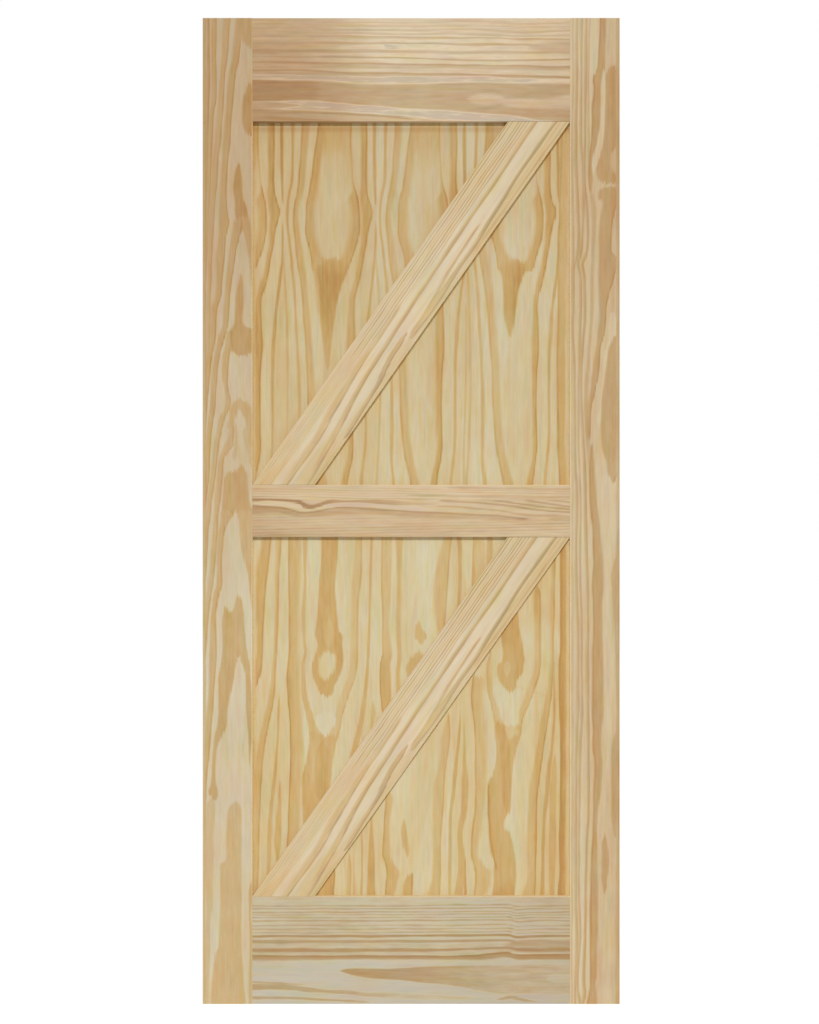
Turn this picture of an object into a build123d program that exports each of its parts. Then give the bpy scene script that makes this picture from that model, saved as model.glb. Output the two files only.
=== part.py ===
from build123d import *
from math import cos, pi, sin, sqrt
import os

# A framed and braced barn door leaf in clear pine, in millimetres: two stiles and three rails joined
# by stub tenons and dowels, two flat panels held in grooves, and a diagonal brace on each panel.
# The origin is at the middle of the bottom edge. X runs across the leaf, Z up it, and the front
# faces -Y.

# Leaf
LEAF_WIDTH = 838.0
LEAF_HEIGHT = 1981.0
LEAF_THICKNESS = 35.0
ARRIS_RADIUS = 1.5  # rounding of every long edge that a hand can reach

# Stiles and rails, as wide as they show from the front
STILE_WIDTH = 100.0
TOP_RAIL_WIDTH = 208.0
MID_RAIL_WIDTH = 105.0
BOTTOM_RAIL_WIDTH = 216.0

# Panels and the grooves that hold them, which also take the rails' stub tenons
PANEL_THICKNESS = 11.0
GROOVE_DEPTH = 12.0
GROOVE_CLEARANCE = 0.1  # from a panel's or tenon's face to the wall of its groove
PANEL_EDGE_GAP = 2.0  # left round a panel, so that it can swell
TENON_END_GAP = 1.0  # left beyond a tenon for glue

# Braces, which lie on the panels and finish flush with the frame
BRACE_WIDTH = 102.0
BRACE_CLEARANCE = 0.2  # from a brace to the frame around it

# Dowels, half in a stile and half in a rail
DOWEL_DIAMETER = 16.0
DOWEL_LENGTH = 130.0
DOWEL_CHAMFER = 1.5
FLUTE_DEPTH = 0.7
FLUTE_COUNT = 12
HOLE_CLEARANCE = 0.1  # all round a dowel
HOLE_END_GAP = 2.0  # left beyond each end of a dowel for glue
TOP_RAIL_DOWELS = 3
MID_RAIL_DOWELS = 2
BOTTOM_RAIL_DOWELS = 3

CUT_OVERRUN = 2.0  # how far a cut runs past the face that it opens

# Sizes that follow from those above
OPENING_WIDTH = LEAF_WIDTH - 2 * STILE_WIDTH
STILE_EDGE = OPENING_WIDTH / 2  # from the leaf's middle to a stile's inner edge
TOP_RAIL_BOTTOM = LEAF_HEIGHT - TOP_RAIL_WIDTH
MID_RAIL_BOTTOM = (LEAF_HEIGHT - MID_RAIL_WIDTH) / 2
MID_RAIL_TOP = MID_RAIL_BOTTOM + MID_RAIL_WIDTH
GROOVE_WIDTH = PANEL_THICKNESS + 2 * GROOVE_CLEARANCE
GROOVE_CUT = GROOVE_DEPTH + CUT_OVERRUN
TENON_LENGTH = GROOVE_DEPTH - TENON_END_GAP
BRACE_THICKNESS = (LEAF_THICKNESS - PANEL_THICKNESS) / 2
HOLE_DEPTH = DOWEL_LENGTH / 2 + HOLE_END_GAP

# Each rail: the height of its lower edge, its width, and the dowels in each of its ends
RAILS = {
    "top": (TOP_RAIL_BOTTOM, TOP_RAIL_WIDTH, TOP_RAIL_DOWELS),
    "mid": (MID_RAIL_BOTTOM, MID_RAIL_WIDTH, MID_RAIL_DOWELS),
    "bottom": (0, BOTTOM_RAIL_WIDTH, BOTTOM_RAIL_DOWELS),
}
SIDES = {"left": -1, "right": 1}


def dowel_places(rail, side):
    """Where a rail's dowels cross into one stile, each in the middle of an equal share of the rail."""
    bottom, width, count = RAILS[rail]
    pitch = width / count
    heights = [bottom + pitch * (number + 1 / 2) for number in range(count)]
    return [Location((side * STILE_EDGE, 0, height), (0, 90, 0)) for height in heights]


def dowel_holes(rails, sides):
    """Blind holes on both sides of each joint, as one long bore that is centred on it."""
    bore = Cylinder(DOWEL_DIAMETER / 2 + HOLE_CLEARANCE, 2 * HOLE_DEPTH)
    return [place * bore for rail in rails for side in sides for place in dowel_places(rail, side)]


def stile(side):
    """A rounded section with the panel groove in its inner edge, carried up the whole leaf."""
    section = Pos(side * (LEAF_WIDTH - STILE_WIDTH) / 2, 0) * RectangleRounded(
        STILE_WIDTH, LEAF_THICKNESS, ARRIS_RADIUS
    )
    groove_middle = side * (STILE_EDGE + GROOVE_DEPTH - GROOVE_CUT / 2)
    section -= Pos(groove_middle, 0) * Rectangle(GROOVE_CUT, GROOVE_WIDTH)
    return extrude(section, LEAF_HEIGHT) - dowel_holes(RAILS, [side])


def rail(name, grooved_edges):
    """A rounded section, grooved along its panel edges and carried across the leaf, whose ends are
    cut back to stub tenons. A grooved edge is -1 for the lower and 1 for the upper one."""
    bottom, width, _ = RAILS[name]
    middle = bottom + width / 2
    section = Pos(0, middle) * RectangleRounded(LEAF_THICKNESS, width, ARRIS_RADIUS)
    for edge in grooved_edges:
        groove_middle = middle + edge * (width / 2 - GROOVE_DEPTH + GROOVE_CUT / 2)
        section -= Pos(0, groove_middle) * Rectangle(GROOVE_WIDTH, GROOVE_CUT)
    blank_length = OPENING_WIDTH + 2 * TENON_LENGTH
    blank = extrude(Plane.YZ * section, blank_length / 2, both=True)
    plan = Rectangle(OPENING_WIDTH, LEAF_THICKNESS + 2 * CUT_OVERRUN)
    plan += Rectangle(blank_length + 2 * CUT_OVERRUN, PANEL_THICKNESS)
    shoulders = extrude(Pos(0, 0, middle) * plan, width / 2 + CUT_OVERRUN, both=True)
    return (blank & shoulders) - dowel_holes([name], SIDES.values())


def panel(bottom, top):
    """A flat sheet that fills an opening and reaches into the grooves around it."""
    reach = GROOVE_DEPTH - PANEL_EDGE_GAP
    sheet = Rectangle(OPENING_WIDTH + 2 * reach, top - bottom + 2 * reach)
    middle = Plane.XZ * Pos(0, (bottom + top) / 2)
    return extrude(middle * sheet, PANEL_THICKNESS / 2, both=True)


def brace(bottom, top):
    """A board from an opening's lower left corner to its upper right one, with level ends. The level
    cut c across a board of width b, in a clear space w by h, solves c * h = b * hypot(w - c, h)."""
    clear_width = OPENING_WIDTH - 2 * BRACE_CLEARANCE
    clear_height = top - bottom - 2 * BRACE_CLEARANCE
    slope = sqrt(clear_width**2 + clear_height**2 - BRACE_WIDTH**2)
    cut = BRACE_WIDTH * (clear_height * slope - clear_width * BRACE_WIDTH)
    cut /= clear_height**2 - BRACE_WIDTH**2
    left, right = -clear_width / 2, clear_width / 2
    low, high = bottom + BRACE_CLEARANCE, top - BRACE_CLEARANCE
    outline = Polygon((left, low), (left + cut, low), (right, high), (right - cut, high), align=None)
    board = extrude(Plane.XZ.offset(PANEL_THICKNESS / 2) * outline, BRACE_THICKNESS)
    front_edges = board.faces().sort_by(Axis.Y)[0].edges()
    return fillet(front_edges.sort_by(SortBy.LENGTH)[-2:], ARRIS_RADIUS)


def dowel():
    """A rod with straight glue flutes between sharp ridges and a taper at each end, along its own Z."""
    ridge = DOWEL_DIAMETER / 2
    radii = [ridge, ridge - FLUTE_DEPTH] * FLUTE_COUNT
    turns = [2 * pi * number / len(radii) for number in range(len(radii))]
    outline = [(radius * cos(turn), radius * sin(turn)) for radius, turn in zip(radii, turns)]
    middle = Polygon(*outline, align=None)
    tip = scale(middle, by=1 - DOWEL_CHAMFER / ridge)
    tip_height = DOWEL_LENGTH / 2
    taper_height = tip_height - DOWEL_CHAMFER
    sections = [(-tip_height, tip), (-taper_height, middle), (taper_height, middle), (tip_height, tip)]
    return loft([Pos(0, 0, height) * section for height, section in sections], ruled=True)


nodes = {
    "left_stile": stile(SIDES["left"]),
    "right_stile": stile(SIDES["right"]),
    "top_rail": rail("top", [-1]),
    "mid_rail": rail("mid", [-1, 1]),
    "bottom_rail": rail("bottom", [1]),
    "upper_panel": panel(MID_RAIL_TOP, TOP_RAIL_BOTTOM),
    "lower_panel": panel(BOTTOM_RAIL_WIDTH, MID_RAIL_BOTTOM),
    "upper_brace": brace(MID_RAIL_TOP, TOP_RAIL_BOTTOM),
    "lower_brace": brace(BOTTOM_RAIL_WIDTH, MID_RAIL_BOTTOM),
}
fluted_dowel = dowel()
for rail_name in RAILS:
    for side_name, side in SIDES.items():
        group = [place * fluted_dowel for place in dowel_places(rail_name, side)]
        nodes[f"{rail_name}_{side_name}_dowels"] = Compound(group)

os.makedirs("parts", exist_ok=True)
for name, shape in nodes.items():
    export_step(shape, f"parts/{name}.step")
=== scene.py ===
from dataclasses import dataclass
from math import atan2, cos, radians, sin

import bpy
import numpy as np
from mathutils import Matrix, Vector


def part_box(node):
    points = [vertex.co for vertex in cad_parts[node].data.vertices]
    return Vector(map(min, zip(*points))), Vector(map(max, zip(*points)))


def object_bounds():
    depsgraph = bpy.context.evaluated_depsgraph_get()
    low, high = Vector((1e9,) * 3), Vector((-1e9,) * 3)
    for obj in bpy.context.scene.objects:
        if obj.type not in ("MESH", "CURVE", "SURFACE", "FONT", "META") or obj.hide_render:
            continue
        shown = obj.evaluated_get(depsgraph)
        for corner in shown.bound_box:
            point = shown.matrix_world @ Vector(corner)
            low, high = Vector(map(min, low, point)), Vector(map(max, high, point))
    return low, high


# A framed and braced barn door leaf in clear, unfinished pine. Every piece is a CAD node that keeps its
# shape. Each board is dressed with the figure of its own grain, drawn as bands of latewood on the board.
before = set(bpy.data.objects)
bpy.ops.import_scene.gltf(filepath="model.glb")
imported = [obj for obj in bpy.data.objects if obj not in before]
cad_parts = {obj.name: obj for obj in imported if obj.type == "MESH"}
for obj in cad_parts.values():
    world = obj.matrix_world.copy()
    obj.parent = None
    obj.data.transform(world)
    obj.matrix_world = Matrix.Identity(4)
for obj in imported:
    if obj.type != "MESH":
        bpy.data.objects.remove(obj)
cad_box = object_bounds()
leaf_low = cad_box[0]

MM = 0.001

# Figures
# A board's figure is a list of bands, laid one over the other on paler earlywood. A band is (tone, fade of
# its near edge, fade of its far edge, [(place along the grain, near edge, far edge), ...]), in millimetres
# from the leaf's bottom left corner. Tone runs from 0 in the earlywood to 1 in the darkest latewood, and a
# list of (place along the grain, tone) lets it change on the way.
LEFT_STILE_FIGURE = [
    # Rings that run out at the outer edge, from the outermost inwards
    (0.66, 1.5, 1, [
        (1981, 9, 13), (1900, 10, 14), (1850, 8, 14), (1780, 7, 12), (1690, 6, 11), (1600, 3, 7),
        (1500, 4, 4),
    ]),
    (0.64, 3, 1, [
        (1981, 20, 28), (1900, 20, 28), (1830, 20, 28), (1790, 17, 23), (1740, 13, 20), (1680, 12, 18),
        (1600, 9, 14), (1500, 5, 9), (1420, 5, 5),
    ]),
    (0.6, 4, 1, [
        (1981, 44, 56), (1940, 42, 53), (1900, 40, 50), (1860, 36, 45), (1790, 32, 41), (1740, 28, 37),
        (1690, 22, 31), (1640, 20, 29), (1590, 15, 24), (1540, 13, 21), (1460, 12, 18), (1380, 10, 16),
        (1300, 7, 12), (1220, 4, 8), (1150, 5, 5),
    ]),
    (0.72, 6, 1, [
        (1981, 70, 80), (1900, 62, 73), (1860, 55, 66), (1800, 50, 60), (1740, 46, 56), (1640, 38, 48),
        (1600, 36, 49), (1570, 36, 54), (1540, 36, 47), (1500, 31, 44), (1460, 30, 40), (1420, 28, 37),
        (1400, 22, 31), (1340, 18, 26), (1300, 14, 20), (1260, 9, 15), (1200, 5, 9), (1140, 6, 6),
    ]),
    # Top corner and a dark spot on the inner edge
    (0.65, 5, 1, [(1981, 78, 106), (1950, 78, 106), (1935, 80, 106), (1926, 92, 106), (1915, 106, 106)]),
    (0.86, 5, 1, [
        (1850, 104, 104), (1848, 96, 104), (1835, 90, 104), (1820, 84, 104), (1790, 82, 104),
        (1765, 84, 104), (1752, 90, 103), (1745, 98, 98),
    ]),
    # First arch: a tongue that parts into two legs
    (0.8, 3, 3, [
        (1690, 72, 72), (1675, 67, 77), (1660, 65, 79), (1640, 62, 80), (1620, 64, 81), (1605, 66, 86),
        (1590, 66, 90), (1575, 68, 92), (1560, 65, 95), (1552, 77, 77),
    ]),
    (0.72, 4, 1, [
        (1580, 78, 78), (1575, 68, 80), (1550, 62, 76), (1520, 57, 69), (1480, 52, 62), (1440, 48, 57),
        (1400, 44, 54), (1360, 42, 50), (1345, 36, 46), (1320, 30, 39), (1300, 26, 33), (1250, 20, 29),
        (1200, 17, 25), (1160, 12, 20), (1100, 8, 16), (1060, 7, 14), (1020, 4, 8), (980, 5, 5),
    ]),
    (0.6, 3, 3, [
        (1582, 82, 82), (1575, 78, 94), (1550, 82, 98), (1520, 90, 101), (1480, 96, 104), (1440, 99, 104),
        (1400, 103, 103),
    ]),
    # Second arch: a tongue, a block under it and a strip on its left
    (0.72, 4, 4, [
        (1468, 77, 77), (1450, 72, 80), (1430, 69, 82), (1400, 66, 82), (1380, 65, 80), (1365, 63, 81),
        (1352, 58, 104), (1330, 56, 104), (1315, 58, 104), (1306, 66, 96), (1300, 76, 76),
    ]),
    (0.66, 3, 1, [
        (1355, 56, 56), (1345, 50, 58), (1320, 47, 57), (1300, 42, 54), (1260, 41, 51), (1240, 46, 50),
        (1210, 49, 56), (1190, 44, 52), (1180, 36, 46), (1160, 32, 40), (1130, 26, 34), (1100, 22, 30),
        (1060, 18, 26), (1030, 14, 22), (1000, 10, 18), (960, 8, 13), (900, 5, 9), (850, 6, 6),
    ]),
    # Third arch
    (0.55, 3, 3, [
        (1217, 76, 76), (1208, 62, 90), (1200, 58, 97), (1180, 54, 101), (1160, 50, 104), (1150, 60, 102),
        (1145, 80, 80),
    ]),
    (0.1, 2, 2, [
        (1195, 73, 73), (1185, 69, 79), (1175, 66, 84), (1160, 64, 88), (1130, 70, 86), (1110, 78, 78),
    ]),
    (0.65, 4, 2, [
        (1170, 58, 58), (1160, 57, 62), (1130, 52, 61), (1120, 45, 60), (1110, 42, 52), (1100, 36, 45),
        (1060, 32, 40), (1020, 28, 36), (980, 25, 31), (940, 22, 30), (890, 18, 26), (840, 12, 20),
        (800, 8, 14), (750, 5, 10), (690, 6, 6),
    ]),
    (0.55, 2, 2, [(1170, 95, 95), (1160, 88, 101), (1110, 92, 99), (1080, 97, 102), (1060, 102, 102)]),
    (0.44, 2, 2, [
        (1168, 66, 66), (1160, 64, 68), (1140, 66, 70), (1120, 64, 70), (1100, 60, 68), (1090, 64, 64),
    ]),
    (0.4, 3, 3, [(1160, 86, 86), (1150, 82, 90), (1130, 84, 92), (1110, 92, 98), (1095, 96, 96)]),
    # Fourth arch: a block that parts into two legs
    (0.67, 3, 3, [
        (1084, 79, 79), (1072, 66, 86), (1066, 48, 88), (1055, 44, 89), (1040, 42, 90), (1000, 40, 96),
        (985, 40, 104), (975, 44, 104), (965, 66, 66),
    ]),
    (0.1, 3, 3, [(990, 66, 66), (980, 58, 74), (965, 53, 74), (940, 54, 70), (920, 62, 62)]),
    (0.72, 4, 2, [
        (995, 50, 50), (985, 39, 62), (970, 38, 52), (950, 35, 44), (920, 33, 41), (880, 31, 38),
        (845, 31, 40), (825, 25, 34), (790, 20, 28), (740, 17, 28), (700, 16, 28), (640, 15, 24),
        (600, 12, 22), (560, 8, 18), (500, 6, 14), (450, 4, 8), (400, 5, 5),
    ]),
    (0.7, 2, 1, [
        (995, 90, 90), (985, 72, 104), (970, 75, 104), (940, 77, 104), (920, 79, 104), (900, 82, 104),
        (880, 88, 104), (860, 93, 104), (840, 95, 104), (820, 97, 103), (790, 102, 102),
    ]),
    (0.25, 2, 2, [(915, 52, 52), (890, 51, 55), (860, 53, 53)]),
    # Fifth arch: a block with two tips that parts into two legs
    (0.66, 3, 3, [
        (824, 72, 72), (812, 67, 77), (800, 64, 80), (788, 60, 82), (780, 41, 82), (770, 40, 82),
        (740, 40, 85), (720, 41, 87), (700, 40, 91), (692, 40, 93), (684, 50, 90), (678, 72, 72),
    ]),
    (0.7, 2, 2, [(800, 44, 44), (790, 42, 52), (780, 41, 60), (772, 50, 50)]),
    (0.1, 3, 3, [(700, 72, 72), (692, 69, 77), (680, 67, 82), (660, 68, 82), (640, 75, 75)]),
    (0.7, 2, 2, [
        (698, 56, 56), (692, 39, 70), (680, 37, 67), (660, 33, 63), (640, 32, 60), (620, 32, 55),
        (600, 32, 51), (580, 32, 49), (562, 30, 48), (552, 28, 46), (540, 25, 38), (520, 22, 30),
        (480, 20, 26), (440, 16, 27), (425, 12, 30), (415, 18, 28), (405, 20, 20),
    ]),
    (0.45, 3, 3, [
        (412, 16, 16), (400, 8, 24), (360, 6, 22), (300, 5, 22), (240, 6, 20), (200, 8, 20), (160, 6, 14),
        (100, 5, 14), (0, 4, 12),
    ]),
    (0.65, 2, 2, [
        (700, 84, 84), (692, 76, 93), (680, 82, 95), (660, 86, 95), (600, 88, 98), (580, 89, 98),
        (540, 92, 98), (500, 94, 97), (470, 96, 96),
    ]),
    (0.33, 1, 1, [(535, 81, 81), (510, 80, 83), (485, 81, 81)]),
    # Bottom block
    (0.56, 4, 4, [
        (409, 66, 66), (402, 60, 71), (395, 54, 75), (385, 51, 77), (320, 49, 78), (290, 47, 78),
        (278, 35, 78), (260, 37, 78), (180, 36, 77), (110, 32, 77), (100, 26, 78), (60, 22, 82),
        (0, 18, 87),
    ]),
    (0.61, 2, 2, [
        (250, 100, 100), (225, 93, 102), (205, 93, 100), (180, 93, 97), (140, 95, 99), (100, 94, 99),
        (0, 94, 98),
    ]),
    # A darker strip along the outer edge, from end to end: painted shade on the rounded arris
    (0.5, 3, 1, [(1981, 0, 6), (1000, 0, 6), (0, 0, 5)]),
]
RIGHT_STILE_FIGURE = [
    # Thin rings near the inner edge, with a small swerve where a branch ran past
    (0.5, 1.5, 1.5, [
        (1981, 743, 746), (1850, 743, 746), (1700, 741, 744), (1500, 743, 747), (1470, 741, 743),
        (1000, 742, 745), (600, 742, 745), (0, 740, 743),
    ]),
    (0.6, 2, 1.5, [
        (1981, 751, 755), (1850, 750, 754), (1700, 748, 752), (1600, 753, 757), (1560, 755, 758),
        (1500, 751, 755), (1480, 744, 747), (1400, 744, 747), (1350, 742, 746), (1300, 746, 749),
        (1100, 747, 750), (1000, 750, 754), (900, 749, 752), (750, 753, 756), (600, 752, 756),
        (500, 749, 753), (300, 748, 752), (80, 750, 754), (50, 748, 752), (0, 747, 750),
    ]),
    (0.58, 2, 1.5, [
        (1981, 760, 764), (1850, 760, 763), (1750, 758, 761), (1660, 764, 767), (1550, 762, 765),
        (1500, 757, 760), (1488, 752, 756), (1460, 758, 762), (1350, 756, 760), (1250, 754, 757),
        (1150, 753, 756), (1000, 758, 761), (900, 757, 760), (700, 761, 764), (600, 761, 764),
        (500, 757, 760), (240, 755, 758), (150, 757, 760), (50, 752, 755), (0, 756, 760),
    ]),
    (0.64, 2, 1.5, [
        (1981, 769, 773), (1850, 768, 772), (1700, 766, 769), (1650, 767, 770), (1600, 771, 774),
        (1550, 773, 776), (1520, 772, 775), (1500, 766, 770), (1485, 762, 766), (1460, 766, 770),
        (1400, 767, 770), (1300, 761, 765), (1250, 759, 763), (1150, 762, 766), (1100, 765, 769),
        (950, 768, 773), (800, 773, 776), (700, 772, 776), (500, 774, 777), (400, 774, 777),
        (300, 770, 773), (150, 767, 771), (50, 765, 768), (20, 766, 770), (0, 762, 766),
    ]),
    (0.52, 2, 2, [
        (1981, 777, 780), (1900, 774, 777), (1850, 774, 777), (1750, 774, 778), (1680, 775, 779),
        (1640, 776, 782), (1600, 782, 789), (1560, 783, 790), (1500, 780, 786), (1400, 779, 785),
        (1300, 773, 779), (1200, 767, 773), (1150, 769, 775), (1100, 774, 780), (1060, 778, 778),
    ]),
    # Long band, broken by a knot in the log nearby
    (0.86, 2, 4, [
        (1981, 798, 808), (1920, 796, 806), (1880, 793, 806), (1860, 785, 803), (1840, 786, 799),
        (1800, 782, 800), (1770, 783, 798), (1740, 782, 792), (1700, 777, 785), (1650, 776, 781),
        (1630, 778, 778),
    ]),
    # Patches beside it and the pale streaks between them
    (0.82, 5, 1, [
        (1885, 826, 826), (1872, 815, 835), (1860, 812, 836), (1840, 811, 840), (1760, 808, 840),
        (1740, 806, 840), (1700, 798, 840), (1690, 793, 840), (1680, 792, 840), (1664, 796, 840),
        (1653, 802, 840), (1648, 822, 822),
    ]),
    (0.05, 3, 3, [
        (1880, 805, 805), (1860, 802, 808), (1800, 800, 808), (1740, 795, 805), (1700, 785, 797),
        (1680, 783, 790), (1660, 786, 786),
    ]),
    (0.25, 5, 5, [(1722, 829, 829), (1700, 821, 834), (1680, 822, 834), (1666, 829, 829)]),
    (0.8, 5, 1, [
        (1642, 822, 822), (1637, 802, 840), (1630, 798, 840), (1620, 798, 838), (1610, 806, 836),
        (1600, 806, 830), (1560, 800, 822), (1520, 799, 821), (1505, 799, 826), (1495, 799, 840),
        (1480, 799, 832), (1450, 799, 824), (1420, 799, 815), (1370, 800, 810), (1350, 797, 808),
        (1320, 793, 800), (1280, 788, 797), (1260, 785, 795), (1240, 784, 790), (1200, 777, 782),
        (1160, 775, 779), (1130, 777, 777),
    ]),
    (0.05, 2, 4, [
        (1392, 818, 818), (1370, 815, 835), (1350, 814, 837), (1330, 812, 830), (1310, 806, 815),
        (1240, 800, 810), (1200, 797, 803), (1180, 790, 800), (1160, 794, 794),
    ]),
    (0.78, 5, 1, [
        (1342, 830, 830), (1320, 820, 840), (1300, 816, 840), (1260, 811, 840), (1200, 805, 840),
        (1160, 803, 840), (1120, 805, 840), (1100, 810, 840), (1085, 815, 838), (1070, 817, 834),
        (1045, 827, 827),
    ]),
    # Long lower band
    (0.84, 3, 4, [
        (1130, 781, 781), (1080, 778, 785), (1040, 778, 787), (1000, 779, 790), (960, 783, 795),
        (920, 784, 799), (880, 785, 802), (840, 782, 803), (800, 785, 800), (760, 786, 800),
        (700, 783, 803), (580, 783, 803), (550, 785, 799), (520, 784, 797), (480, 788, 800),
        (440, 787, 799), (380, 785, 792), (300, 782, 790), (220, 779, 791), (60, 779, 790),
        (40, 779, 786), (10, 774, 790), (0, 772, 790),
    ]),
    # Strips along the outer edge, and a small lens
    (0.6, 2, 1, [
        (915, 838, 838), (880, 827, 840), (860, 824, 840), (800, 826, 840), (760, 829, 840),
        (700, 831, 840), (600, 835, 840), (575, 838, 838),
    ]),
    (0.6, 2, 1, [
        (565, 838, 838), (540, 829, 840), (520, 824, 840), (460, 823, 840), (440, 822, 836),
        (400, 823, 836), (380, 822, 832), (350, 826, 832), (335, 829, 829),
    ]),
    (0.72, 2, 2, [
        (342, 808, 808), (325, 803, 812), (300, 803, 815), (270, 802, 815), (250, 801, 812),
        (235, 804, 812), (220, 808, 808),
    ]),
    # A darker strip along the whole outer edge: painted shade on the rounded arris
    (0.6, 3, 1, [(1981, 833, 838), (900, 833, 838), (0, 832, 838)]),
]

# The top rail's rings lie almost level, and its left end is the darkest wood on the leaf
TOP_RAIL_FIGURE = [
    ([(100, 0.46), (190, 0.4), (270, 0.26), (340, 0.16)], 6, 6, [
        (100, 1760, 1990), (350, 1760, 1990), (370, 1875, 1875),
    ]),
    (0.32, 1, 1, [
        (100, 1971, 1974), (420, 1971, 1973), (540, 1973, 1975), (640, 1968, 1970), (740, 1971, 1973),
    ]),
    (0.34, 1, 1, [
        (100, 1963, 1967), (420, 1963, 1966), (540, 1966, 1968), (640, 1962, 1964), (740, 1962, 1965),
    ]),
    (0.4, 1, 1, [
        (100, 1955, 1959), (165, 1955, 1959), (260, 1956, 1959), (420, 1954, 1957), (520, 1957, 1960),
        (640, 1951, 1954), (740, 1954, 1957),
    ]),
    (0.4, 1, 1, [
        (100, 1949, 1953), (300, 1949, 1952), (420, 1947, 1950), (520, 1948, 1951), (640, 1944, 1946),
        (740, 1945, 1948),
    ]),
    (0.4, 2, 1, [
        (100, 1938, 1945), (200, 1940, 1945), (300, 1941, 1945), (420, 1940, 1943), (600, 1940, 1942),
        (640, 1937, 1939), (740, 1937, 1939),
    ]),
    (0.52, 1, 1, [
        (100, 1927, 1932), (300, 1929, 1932), (420, 1929, 1932), (540, 1926, 1930), (640, 1926, 1929),
        (740, 1925, 1929),
    ]),
    (0.42, 8, 8, [(650, 1922, 1922), (700, 1915, 1932), (740, 1913, 1934)]),
    ([(100, 0.7), (250, 0.64), (310, 0.45)], 2, 2, [
        (100, 1911, 1918), (260, 1911, 1918), (420, 1911, 1916), (520, 1909, 1914), (740, 1910, 1914),
    ]),
    (0.57, 1, 1, [
        (100, 1902, 1905), (300, 1901, 1904), (420, 1899, 1902), (500, 1896, 1899), (640, 1894, 1897),
        (740, 1896, 1899),
    ]),
    (0.56, 3, 2, [
        (100, 1885, 1893), (300, 1882, 1891), (420, 1882, 1889), (600, 1880, 1886), (740, 1879, 1884),
    ]),
    (0.6, 3, 2, [
        (100, 1868, 1877), (180, 1868, 1877), (300, 1863, 1872), (480, 1864, 1869), (640, 1860, 1866),
        (740, 1857, 1863),
    ]),
    # Pale streak, and the broad band where the rings are cut nearly flat
    (0.0, 3, 3, [
        (100, 1857, 1867), (300, 1849, 1864), (420, 1847, 1863), (560, 1849, 1863), (640, 1847, 1859),
        (740, 1846, 1858),
    ]),
    ([(100, 0.84), (215, 0.78), (250, 0.64), (480, 0.6), (740, 0.64)], 6, 6, [
        (100, 1810, 1856), (220, 1810, 1854), (300, 1805, 1849), (420, 1797, 1847), (540, 1787, 1851),
        (620, 1781, 1849), (740, 1773, 1847),
    ]),
    (0.36, 9, 9, [(530, 1818, 1818), (560, 1808, 1828), (590, 1810, 1826), (610, 1817, 1817)]),
    (0.3, 8, 8, [(590, 1812, 1812), (620, 1804, 1818), (680, 1800, 1818), (740, 1802, 1826)]),
    (0.0, 4, 4, [
        (100, 1797, 1812), (200, 1796, 1815), (300, 1789, 1807), (360, 1783, 1803), (420, 1779, 1798),
        (500, 1777, 1793), (560, 1775, 1789), (620, 1774, 1784), (680, 1774, 1774),
    ]),
    (0.52, 4, 4, [(100, 1799, 1812), (150, 1800, 1811), (200, 1806, 1806)]),
    ([(100, 0.66), (200, 0.54), (300, 0.42), (420, 0.36)], 5, 5, [
        (100, 1768, 1799), (300, 1768, 1790), (420, 1768, 1782), (500, 1770, 1770),
    ]),
    (0.7, 1, 1, [
        (100, 1790, 1797), (200, 1789, 1793), (260, 1788, 1792), (310, 1785, 1789), (380, 1780, 1784),
        (430, 1776, 1776),
    ]),
    (0.74, 1, 1, [(100, 1778, 1784), (200, 1775, 1780), (240, 1775, 1778), (280, 1775, 1775)]),
]
MID_RAIL_FIGURE = [
    # A ring that dips round a pin knot, with a pale line and a tan band under it
    ([(100, 0.76), (190, 0.88), (260, 0.76), (360, 0.66), (420, 0.45)], 2, 2, [
        (100, 1011, 1016), (140, 1011, 1015), (180, 1009, 1013), (195, 1005, 1012), (200, 1000, 1010),
        (205, 995, 1006), (215, 994, 1003), (225, 996, 1003), (235, 999, 1006), (245, 1003, 1010),
        (255, 1006, 1013), (270, 1008, 1013), (300, 1008, 1012), (340, 1007, 1013), (360, 1004, 1013),
        (420, 1003, 1008), (480, 1003, 1003),
    ]),
    (0.0, 2, 2, [
        (100, 1007, 1007), (120, 1003, 1010), (160, 998, 1008), (190, 996, 1003), (205, 989, 996),
        (220, 987, 993), (240, 991, 998), (260, 998, 1004), (300, 1000, 1007), (340, 1000, 1005),
        (380, 995, 1001), (420, 992, 1000), (470, 993, 993),
    ]),
    (0.66, 4, 3, [
        (100, 988, 1002), (140, 990, 1000), (170, 986, 996), (200, 980, 988), (240, 983, 992),
        (270, 986, 998), (330, 986, 996), (400, 983, 991), (480, 978, 987), (560, 976, 983),
        (600, 975, 981), (660, 974, 974),
    ]),
    # Rings that fan out to the right
    (0.7, 1, 1, [
        (470, 1011, 1011), (490, 1009, 1012), (560, 1005, 1008), (600, 1001, 1004), (640, 996, 1000),
        (680, 991, 994), (740, 986, 989),
    ]),
    (0.7, 1, 1, [
        (580, 1010, 1010), (600, 1008, 1011), (640, 1003, 1006), (680, 998, 1001), (740, 992, 995),
    ]),
    (0.7, 1, 1, [(640, 1012, 1012), (660, 1009, 1012), (700, 1003, 1006), (740, 997, 1000)]),
    (0.63, 1, 1, [(690, 1013, 1013), (710, 1010, 1013), (740, 1006, 1009)]),
    (0.56, 1, 1, [
        (460, 1000, 1000), (480, 999, 1001), (560, 993, 996), (600, 989, 992), (640, 982, 986),
        (740, 978, 981),
    ]),
    (0.56, 1, 1, [(480, 1038, 1038), (520, 1036, 1039), (740, 1033, 1036)]),
    (0.56, 1, 1, [(400, 1022, 1022), (440, 1020, 1023), (600, 1018, 1020), (740, 1017, 1020)]),
    (0.44, 2, 2, [(690, 974, 974), (710, 971, 978), (740, 971, 979)]),
]

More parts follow.
